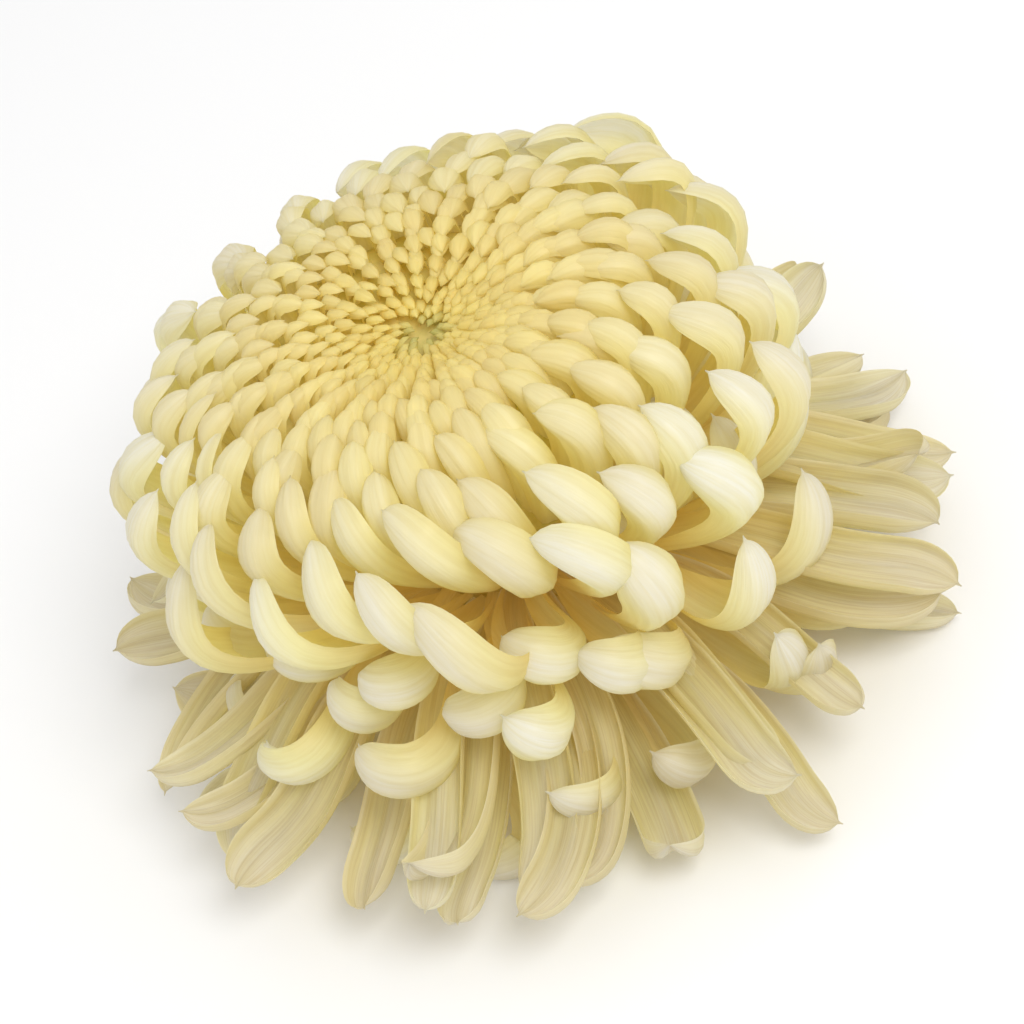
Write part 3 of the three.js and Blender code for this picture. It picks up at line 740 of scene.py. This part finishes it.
class Paint:
    """A material that is built node by node."""

    def __init__(self, name):
        self.material = bpy.data.materials.new(name)
        self.material.use_nodes = True
        self.tree = self.material.node_tree
        self.tree.nodes.clear()

    def add(self, kind, **inputs):
        """A new node, with constants on its inputs."""
        node = self.tree.nodes.new(kind)
        for key, value in inputs.items():
            node.inputs[key.replace("_", " ")].default_value = value
        return node

    def feed(self, socket, value):
        """Links a socket to an output, or sets it to a constant."""
        if isinstance(value, (int, float, tuple)):
            socket.default_value = value
        else:
            self.tree.links.new(value, socket)

    def read(self, name):
        """A number that the mesh carries."""
        node = self.add("ShaderNodeAttribute")
        node.attribute_name = name
        return node.outputs["Fac"]

    def remap(self, value, span, result):
        """The value, mapped in a line from its span to the result's and held at both ends."""
        ends = dict(From_Min=span[0], From_Max=span[1], To_Min=result[0], To_Max=result[1])
        node = self.add("ShaderNodeMapRange", **ends)
        self.feed(node.inputs["Value"], value)
        return node.outputs["Result"]

    def math(self, operation, *values):
        """The result of a Math node."""
        node = self.add("ShaderNodeMath")
        node.operation = operation
        for socket, value in enumerate(values):
            self.feed(node.inputs[socket], value)
        return node.outputs[0]

    def mix(self, factor, first, second, blend="MIX"):
        """The first colour where the factor is 0, blended into the second where it is 1."""
        node = self.add("ShaderNodeMix")
        node.data_type = "RGBA"
        node.blend_type = blend
        for socket, value in zip(MIX_INPUTS, (factor, first, second)):
            self.feed(node.inputs[socket], value)
        return node.outputs[MIX_RESULT]

    def shaded(self, factor, colour, shade):
        """The colour, multiplied by the shade where the factor is 1."""
        return self.mix(factor, colour, self.mix(1.0, colour, shade, "MULTIPLY"))

    def noise(self, place, stretch):
        """Noise over a place, in its own stretch along each axis."""
        mapping = self.add("ShaderNodeMapping", Scale=stretch)
        self.feed(mapping.inputs["Vector"], place)
        node = self.add("ShaderNodeTexNoise", Scale=1.0, Detail=3.0, Roughness=0.6)
        self.feed(node.inputs["Vector"], mapping.outputs[0])
        return node.outputs["Fac"]

    def petal_place(self):
        """A place on a blade: across it, along it, and a layer of its own."""
        place = self.add("ShaderNodeCombineXYZ")
        for socket, name in enumerate(("side", "reach", "tint")):
            self.feed(place.inputs[socket], self.read(name))
        return place.outputs[0]

    def bumped(self, height, strength, distance):
        """A normal that is bumped by the height."""
        node = self.add("ShaderNodeBump", Strength=strength, Distance=distance)
        self.feed(node.inputs["Height"], height)
        return node.outputs[0]

    def principled(self, colour, normal, roughness, specular):
        """A Principled shader."""
        shader = self.add("ShaderNodeBsdfPrincipled", Roughness=roughness)
        shader.inputs["Specular IOR Level"].default_value = specular
        self.feed(shader.inputs["Base Color"], colour)
        self.feed(shader.inputs["Normal"], normal)
        return shader

    def finish(self, shader):
        """The material, with the shader as its surface."""
        output = self.add("ShaderNodeOutputMaterial")
        self.feed(output.inputs["Surface"], shader.outputs[0])
        return self.material


# Stretches of noise, in cells per millimetre across and along a blade, and per unit of tint, so
# that each blade has veins of its own.
VEIN_STRETCH = (2.0, 0.06, 40)
SKIRT_VEIN_STRETCH = (5.5, 0.05, 40)
BRACT_VEIN_STRETCH = (3.0, 0.3, 40)

# Stretches over an object, in cells per metre.
STALK_STRETCH = (1500, 1500, 120)
CORE_STRETCH = (400, 400, 400)
CUP_STRETCH = (500, 500, 500)

# Spans of noise over which its marks come up.
VEIN_SPAN = (0.4, 0.65)
SKIRT_VEIN_SPAN = (0.45, 0.62)
GREEN_SPAN = (0.35, 0.65)

# Where along a petal it is gold, middling and cream; the gold at its root is partly its own and
# partly painted shade deep in the head. The shift for the ridge is added to the place along it, in
# its middle and at its margins, so that the middle is paler, a painted highlight along the ridge,
# and the margins are more golden.
GOLD_AT = 0.30
MIDDLE_AT = 0.74
CREAM_AT = 0.97
RIDGE_HIGHLIGHT_SHIFT = (0.15, -0.1)

# Spans from the middle of a petal, at 0, to its rim, at 1.
MARGIN_SPAN = (0, 0.9)
KEEL_SHADE_SPAN = (0, 0.25)
RIM_LIGHT_SPAN = (0.5, 1)

# Spans of rank over which petals turn from skirt to claw, to yellow and to olive.
SKIRT_RANKS = (0.05, 0.14)
YELLOW_RANKS = (0.3, 0.9)
OLIVE_RANKS = (0.95, 1)

# The most that a colour is mixed in.
YELLOW_SHARE = 0.85
OLIVE_SHARE = 0.6
VEIN_SHARE = 0.7
KEEL_SHADE_SHARE = 0.8
RIM_LIGHT_SHARE = 0.8
PALE_TIP_SHARE = 0.5

# The part of a bract's length that its pale tip takes up.
PALE_TIP_SPAN = (0.7, 1)

# The share of a petal that lets light through, how far its colour deepens there, and a faint
# painted glow in the petal's own colour, which stands in for the light that petals pass between
# them and lifts their shade.
THROUGH_SHARE = 0.6
THROUGH_DEEPENING = 0.7
PAINTED_PETAL_GLOW = 0.12

# Heights, in metres.
PETAL_BUMP = 0.0005
GREEN_BUMP = 0.0002
CUT_DEPTH = 0.0003


def from_ridge(paint):
    """0 along the middle of a petal and 1 at its margins."""
    return paint.math("ABSOLUTE", paint.read("across"))


def skirt_colour(paint, colour):
    """A skirt petal's colour: duller and darker, partly its own beige and partly painted shade, with
    fine darker veins, a keel darkened by painted shade and rims paled by painted light.
    """
    colour = paint.mix(1.0, colour, SKIRT_BEIGE_AND_SHADE, "MULTIPLY")
    veins = paint.noise(paint.petal_place(), SKIRT_VEIN_STRETCH)
    colour = paint.shaded(paint.remap(veins, SKIRT_VEIN_SPAN, (0, 1)), colour, SKIRT_VEIN)
    aside = from_ridge(paint)
    # Painted shade: a skirt petal is darker along the keel in its middle.
    colour = paint.shaded(paint.remap(aside, KEEL_SHADE_SPAN, (KEEL_SHADE_SHARE, 0)), colour, SKIRT_KEEL_SHADE)
    # Painted light: the rims of a skirt petal are paler, as if lit through their thin edges.
    rim = paint.remap(aside, RIM_LIGHT_SPAN, (0, RIM_LIGHT_SHARE))
    return paint.mix(rim, colour, SKIRT_RIM_LIGHT)


def petal_material():
    """A thin petal with fine veins, which light comes through.

    It is golden at its root, partly its own colour and partly painted shade deep in the head, and
    cream at its tip. Its middle is paler, a painted highlight along the ridge, and its margins more
    golden.
    Towards the eye it turns yellow and then olive, and in the skirt it is duller and darker, partly
    its own beige and partly painted shade. It gives off a faint painted glow.
    """
    paint = Paint("petal")
    ramp = paint.add("ShaderNodeValToRGB")
    stops = ramp.color_ramp.elements
    stops[0].position = GOLD_AT
    stops[0].color = ROOT_GOLD_AND_SHADE
    stops[1].position = CREAM_AT
    stops[1].color = TIP_CREAM
    stops.new(MIDDLE_AT).color = MIDDLE_CREAM
    # Painted highlight: the middle of a petal is paler along its ridge.
    ridge_highlight = paint.remap(from_ridge(paint), MARGIN_SPAN, RIDGE_HIGHLIGHT_SHIFT)
    paint.feed(ramp.inputs[0], paint.math("ADD", paint.read("along"), ridge_highlight))
    rank = paint.read("rank")
    yellow = paint.remap(rank, YELLOW_RANKS, (0, YELLOW_SHARE))
    colour = paint.mix(yellow, ramp.outputs[0], EYE_YELLOW)
    colour = paint.mix(paint.remap(rank, OLIVE_RANKS, (0, OLIVE_SHARE)), colour, EYE_OLIVE)
    # In the skirt the petals are duller and darker: partly their own beige and partly painted shade
    # under the head.
    skirt_share = paint.remap(rank, SKIRT_RANKS, (1, 0))
    colour = paint.mix(skirt_share, colour, skirt_colour(paint, colour))
    veins = paint.noise(paint.petal_place(), VEIN_STRETCH)
    colour = paint.shaded(paint.remap(veins, VEIN_SPAN, (0, VEIN_SHARE)), colour, VEIN_SHADE)
    colour = paint.shaded(paint.remap(paint.read("tint"), (-1, 1), (0, 1)), colour, TINT_SHADE)
    relief = paint.bumped(veins, strength=0.6, distance=PETAL_BUMP)
    lit = paint.principled(colour, relief, roughness=0.4, specular=0.6)
    # A painted glow: the petal gives off a little light in its own colour, which lifts its shade.
    paint.feed(lit.inputs["Emission Color"], colour)
    lit.inputs["Emission Strength"].default_value = PAINTED_PETAL_GLOW
    through = paint.add("ShaderNodeBsdfTranslucent")
    deeper = paint.mix(THROUGH_DEEPENING, colour, colour, "MULTIPLY")
    paint.feed(through.inputs["Color"], deeper)
    both = paint.add("ShaderNodeMixShader", Fac=THROUGH_SHARE)
    paint.feed(both.inputs[1], lit.outputs[0])
    paint.feed(both.inputs[2], through.outputs[0])
    return paint.finish(both)


def bract_material():
    """Green with paler veins and tips."""
    paint = Paint("bract")
    veins = paint.noise(paint.petal_place(), BRACT_VEIN_STRETCH)
    colour = paint.mix(paint.remap(veins, GREEN_SPAN, (0, 1)), BRACT_GREEN, BRACT_PALE)
    tips = paint.remap(paint.read("along"), PALE_TIP_SPAN, (0, PALE_TIP_SHARE))
    colour = paint.mix(tips, colour, BRACT_PALE)
    relief = paint.bumped(veins, strength=0.5, distance=GREEN_BUMP)
    return paint.finish(paint.principled(colour, relief, roughness=0.55, specular=0.4))


def mottled_material(name, first, second, stretch):
    """Two colours that run into each other over the object, with a low relief."""
    paint = Paint(name)
    place = paint.add("ShaderNodeTexCoord").outputs["Object"]
    mottle = paint.noise(place, stretch)
    colour = paint.mix(paint.remap(mottle, GREEN_SPAN, (0, 1)), first, second)
    relief = paint.bumped(mottle, strength=0.4, distance=GREEN_BUMP)
    return paint.finish(paint.principled(colour, relief, roughness=0.6, specular=0.4))


def stalk_material():
    """Green with paler streaks along the stalk, and pale on its cut end."""
    paint = Paint("stalk")
    place = paint.add("ShaderNodeTexCoord").outputs["Object"]
    streaks = paint.noise(place, STALK_STRETCH)
    colour = paint.mix(paint.remap(streaks, GREEN_SPAN, (0, 1)), STALK_GREEN, STALK_PALE)
    height = paint.add("ShaderNodeSeparateXYZ")
    paint.feed(height.inputs[0], place)
    cut = paint.remap(height.outputs[2], (0, CUT_DEPTH), (1, 0))
    colour = paint.mix(cut, colour, CUT_PALE)
    relief = paint.bumped(streaks, strength=0.5, distance=GREEN_BUMP)
    return paint.finish(paint.principled(colour, relief, roughness=0.5, specular=0.4))


def floor_material():
    """Plain and pale."""
    paint = Paint("floor")
    shader = paint.add("ShaderNodeBsdfPrincipled", Roughness=0.8)
    shader.inputs["Base Color"].default_value = FLOOR_WHITE
    return paint.finish(shader)


# ------------------------------------------------------------------ the pieces

# The dome is shown as three pieces, down to these widths of floret and to the centre. Each
# kind of floret has its own grid of rows along a blade and columns across it.
LARGE_WIDTH = 3.8
MIDDLING_WIDTH = 2.3
STRAP_GRID = (40, 17)
CLAW_GRID = (36, 13)
LARGE_GRID = (26, 13)
MIDDLING_GRID = (20, 11)
SMALL_GRID = (13, 7)
BRACT_GRID = (18, 9)


def add_florets():
    """The straps, the claws and the dome, on their core."""
    places = dome_places()
    dome_begins = STRAP_COUNT + CLAW_COUNT
    dome = [dome_floret(dome_begins + i, s, i / len(places)) for i, s in enumerate(places)]
    large = sum(width_at(s) > LARGE_WIDTH for s in places)
    middling = sum(width_at(s) > MIDDLING_WIDTH for s in places)
    paint = petal_material()
    for name, florets, grid in (
        ("skirt_straps", [strap(n) for n in range(STRAP_COUNT)], STRAP_GRID),
        ("claw_florets", [claw(n) for n in range(STRAP_COUNT, dome_begins)], CLAW_GRID),
        ("dome_florets", dome[:large], LARGE_GRID),
        ("inner_florets", dome[large:middling], MIDDLING_GRID),
        ("eye_florets", dome[middling:], SMALL_GRID),
    ):
        floret_piece(name, florets, *grid, paint, "petal", "ray_florets")
    # The core shows only in the gaps between the florets, and its gold and olive are painted shade
    # for those deep gaps.
    core_paint = mottled_material("core", CORE_SHADE_GOLD, CORE_SHADE_OLIVE, CORE_STRETCH)
    lathe_piece("core", core_profile(), core_paint, "ray_florets")


def add_green_parts():
    """The bracts and their cup. The peduncle is the solid itself, with a material of its own."""
    bracts = [bract(row, index) for row in range(BRACT_ROWS) for index in range(BRACTS_PER_ROW)]
    floret_piece("bracts", bracts, *BRACT_GRID, bract_material(), "bract", "involucre")
    cup_paint = mottled_material("cup", BRACT_GREEN, BRACT_PALE, CUP_STRETCH)
    lathe_piece("involucre_cup", cup_profile(), cup_paint, "involucre")
    stalk = stalk_material()
    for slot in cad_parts["peduncle"].material_slots:
        slot.material = stalk


# ------------------------------------------------------------------ floor, light and camera

# Sizes and places of the stage are in metres.
FLOOR_SIZE = 4
WORLD_STRENGTH = 0.85
KEY_PLACE = (0.22, -0.45, 0.70)
KEY_TARGET = (0, 0, 0.04)
KEY_SIZE = 0.35
KEY_POWER = 3

# The camera looks along +Y and down. One pixel at the head's middle spans PIXEL metres.
ELEVATION = rad(44)
ROLL = rad(-24)
LENS = 100.0
SENSOR = 36.0
PIXEL = 0.158 * MM
FRAME_PIXELS = 1024
HEAD_MIDDLE_PIXEL = (460, 412)


def add_floor():
    """The plain floor under the flower."""
    bpy.ops.mesh.primitive_plane_add(size=FLOOR_SIZE)
    floor = bpy.context.object
    floor.name = "floor"
    floor.data.materials.append(floor_material())


def add_camera():
    """The photo's view, with the middle of the head at its own pixel."""
    data = bpy.data.cameras.new("camera")
    data.lens = LENS
    data.sensor_width = SENSOR
    camera = bpy.data.objects.new("camera", data)
    bpy.context.scene.collection.objects.link(camera)
    back = Vector((0, -math.cos(ELEVATION), math.sin(ELEVATION)))
    turn = (-back).to_track_quat("-Z", "Y") @ Quaternion((0, 0, 1), ROLL)
    right = turn @ Vector((1, 0, 0))
    up = turn @ Vector((0, 1, 0))
    half = FRAME_PIXELS / 2
    target = Vector((AXIS_X, AXIS_Y, EQUATOR_Z * MM))
    target += right * (half - HEAD_MIDDLE_PIXEL[0]) * PIXEL
    target -= up * (half - HEAD_MIDDLE_PIXEL[1]) * PIXEL
    distance = FRAME_PIXELS * PIXEL * LENS / SENSOR
    camera.location = target + back * distance
    camera.rotation_mode = "QUATERNION"
    camera.rotation_quaternion = turn
    bpy.context.scene.camera = camera


def add_key_light():
    """A large soft light from the front, the right and above."""
    data = bpy.data.lights.new("softbox", "AREA")
    data.size = KEY_SIZE
    data.energy = KEY_POWER
    light = bpy.data.objects.new("softbox", data)
    bpy.context.scene.collection.objects.link(light)
    light.location = KEY_PLACE
    aim = Vector(KEY_TARGET) - Vector(KEY_PLACE)
    light.rotation_euler = aim.to_track_quat("-Z", "Y").to_euler()


def add_world():
    """Even white light from all round."""
    world = bpy.data.worlds.new("studio")
    world.use_nodes = True
    backdrop = world.node_tree.nodes["Background"]
    backdrop.inputs["Color"].default_value = (1, 1, 1, 1)
    backdrop.inputs["Strength"].default_value = WORLD_STRENGTH
    bpy.context.scene.world = world


add_florets()
add_green_parts()
add_floor()
add_camera()
add_world()
add_key_light()
bpy.context.scene.view_settings.view_transform = "Standard"
